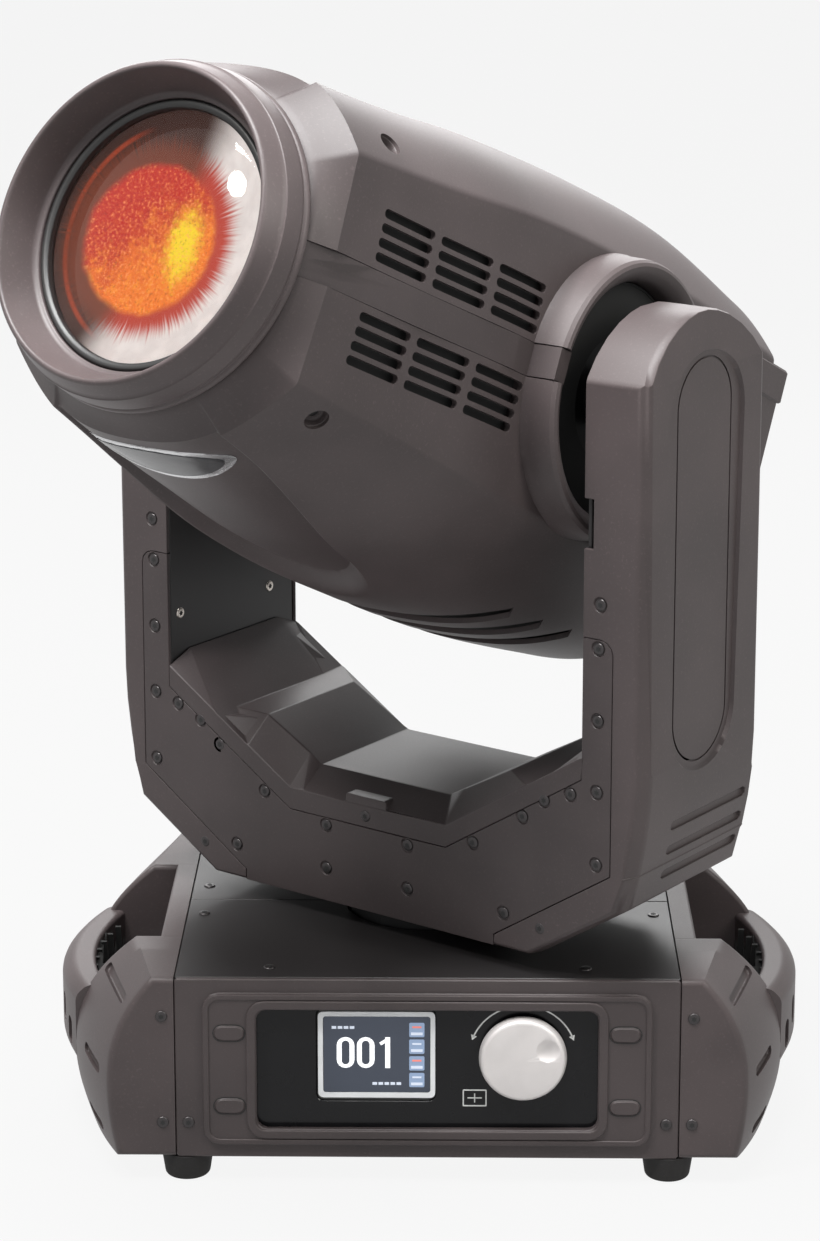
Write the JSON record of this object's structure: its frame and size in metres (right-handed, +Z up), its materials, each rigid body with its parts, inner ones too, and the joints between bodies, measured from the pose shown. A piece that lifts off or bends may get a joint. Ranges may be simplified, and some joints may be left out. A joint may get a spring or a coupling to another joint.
{
  "type": "moving head light",
  "caption": "Moving head stage light: a base with side handles and a display, a yoke that pans on it, and a vented lamp head that tilts between the yoke's arms.",
  "frame": {"origin": "on the pan axis, in the plane of the base's underside, between the feet", "axes": "+Z up along the pan axis; -Y out of the display panel; +X to the right of someone facing the display"},
  "size_m": [0.4448, 0.5051, 0.6484],
  "materials": {
    "charcoal_shell": "fine-grained satin",
    "charcoal_sheet": "fine-grained powder coat",
    "black_paint": "smooth satin",
    "black_metal": "satin",
    "bare_metal": "machined",
    "aluminium_part": "machined",
    "silver_knob": "satin silver",
    "gloss_black": "gloss",
    "screen": "gloss",
    "black_plastic": "satin",
    "rubber_black": "matte",
    "lens_glass": "coated, clear",
    "lamp_glass": "clear",
    "reflector_mirror": "polished",
    "filter_wheel": "dichroic"
  },
  "bodies": {
    "base": {"base_chassis": "black_metal", "base_front_panel": "charcoal_sheet", "base_rear_panel": "charcoal_sheet", "base_top_front": "black_paint", "base_top_rear": "black_paint", "side_cover_left": "charcoal_shell", "side_cover_right": "charcoal_shell", "foot_front_left": "rubber_black", "foot_front_right": "rubber_black", "foot_rear_left": "rubber_black", "foot_rear_right": "rubber_black", "display_panel": "gloss_black", "lcd_module": "screen", "encoder_body": "black_metal", "power_inlet": "black_plastic", "fuse_holder": "black_plastic", "dmx_in_socket": "black_metal", "dmx_out_socket": "black_metal", "pan_bearing": "bare_metal", "pan_motor": "black_metal", "pan_belt": "rubber_black"},
    "encoder_press": {"encoder_plunger": "bare_metal"},
    "jog_wheel": {"jog_knob": "silver_knob", "encoder_shaft": "bare_metal"},
    "pan_drive": {"pan_motor_pulley": "aluminium_part"},
    "yoke": {"yoke_base_plate": "black_metal", "yoke_front_plate": "charcoal_sheet", "yoke_rear_plate": "charcoal_sheet", "yoke_floor_cover": "charcoal_sheet", "arm_cover_left": "charcoal_shell", "arm_cover_right": "charcoal_shell", "arm_plate_left": "black_paint", "arm_plate_right": "black_paint", "tilt_bearing_left": "bare_metal", "tilt_bearing_right": "bare_metal", "pan_shaft": "bare_metal", "pan_pulley": "aluminium_part", "tilt_motor": "black_metal", "tilt_belt": "rubber_black"},
    "tilt_drive": {"tilt_motor_pulley": "aluminium_part"},
    "head": {"head_frame": "black_metal", "head_cover_upper": "charcoal_shell", "head_cover_lower": "charcoal_shell", "head_rear_cover": "charcoal_shell", "front_bezel": "charcoal_shell", "lens_ring": "black_metal", "front_lens": "lens_glass", "reflector": "reflector_mirror", "lamp": "lamp_glass", "tilt_shaft_left": "bare_metal", "tilt_shaft_right": "bare_metal", "tilt_pulley": "aluminium_part", "badge_inlay": "gloss_black"},
    "focus": {"focus_carriage": "aluminium_part", "focus_lens": "lens_glass"},
    "colour": {"colour_wheel": "filter_wheel"},
    "gobo": {"gobo_wheel": "aluminium_part"},
    "fan": {"exhaust_fan": "black_plastic"}
  },
  "joints": [
    {"name": "pan", "type": "hinge", "parent": "base", "child": "yoke", "pos_m": [0, 0, 0], "axis": [0, 0, 1], "range_deg": [-234.2, 305.8]},
    {"name": "tilt", "type": "hinge", "parent": "yoke", "child": "head", "pos_m": [0, 0, 0.43], "axis": [0.8111, -0.585, 0], "range_deg": [-200, 70]},
    {"name": "pan_motor_turn", "type": "hinge", "parent": "base", "child": "pan_drive", "pos_m": [-0.07507, 0.06299, 0.086], "axis": [0, 0, 1], "range_deg": [-824.7, 1075.3]},
    {"name": "tilt_motor_turn", "type": "hinge", "parent": "yoke", "child": "tilt_drive", "pos_m": [0, 0, 0.1875], "axis": [0.8111, -0.585, 0], "range_deg": [-671.7, 238.3]},
    {"name": "jog_press", "type": "slide", "parent": "base", "child": "encoder_press", "axis": [0, 1, 0], "range_m": [0, 0.001], "stiffness_N_per_m": 1500},
    {"name": "jog_turn", "type": "hinge", "parent": "encoder_press", "child": "jog_wheel", "pos_m": [0.054, -0.13, 0.0609], "axis": [0, -1, 0], "continuous": true},
    {"name": "focus_travel", "type": "slide", "parent": "head", "child": "focus", "axis": [-0.5302, -0.7351, 0.4226], "range_m": [-0.035, 0.035]},
    {"name": "colour_wheel_turn", "type": "hinge", "parent": "head", "child": "colour", "pos_m": [0.00226, -0.06867, 0.45536], "axis": [-0.5302, -0.7351, 0.4226], "continuous": true},
    {"name": "gobo_wheel_turn", "type": "hinge", "parent": "head", "child": "gobo", "pos_m": [0.00756, -0.06132, 0.45113], "axis": [-0.5302, -0.7351, 0.4226], "continuous": true},
    {"name": "fan_turn", "type": "hinge", "parent": "head", "child": "fan", "pos_m": [0.07952, 0.11026, 0.36661], "axis": [-0.5302, -0.7351, 0.4226], "continuous": true}
  ],
  "couplings": [
    {"joint": "pan_motor_turn", "follows": "pan", "ratio": 3.5},
    {"joint": "tilt_motor_turn", "follows": "tilt", "ratio": 3.3333}
  ]
}
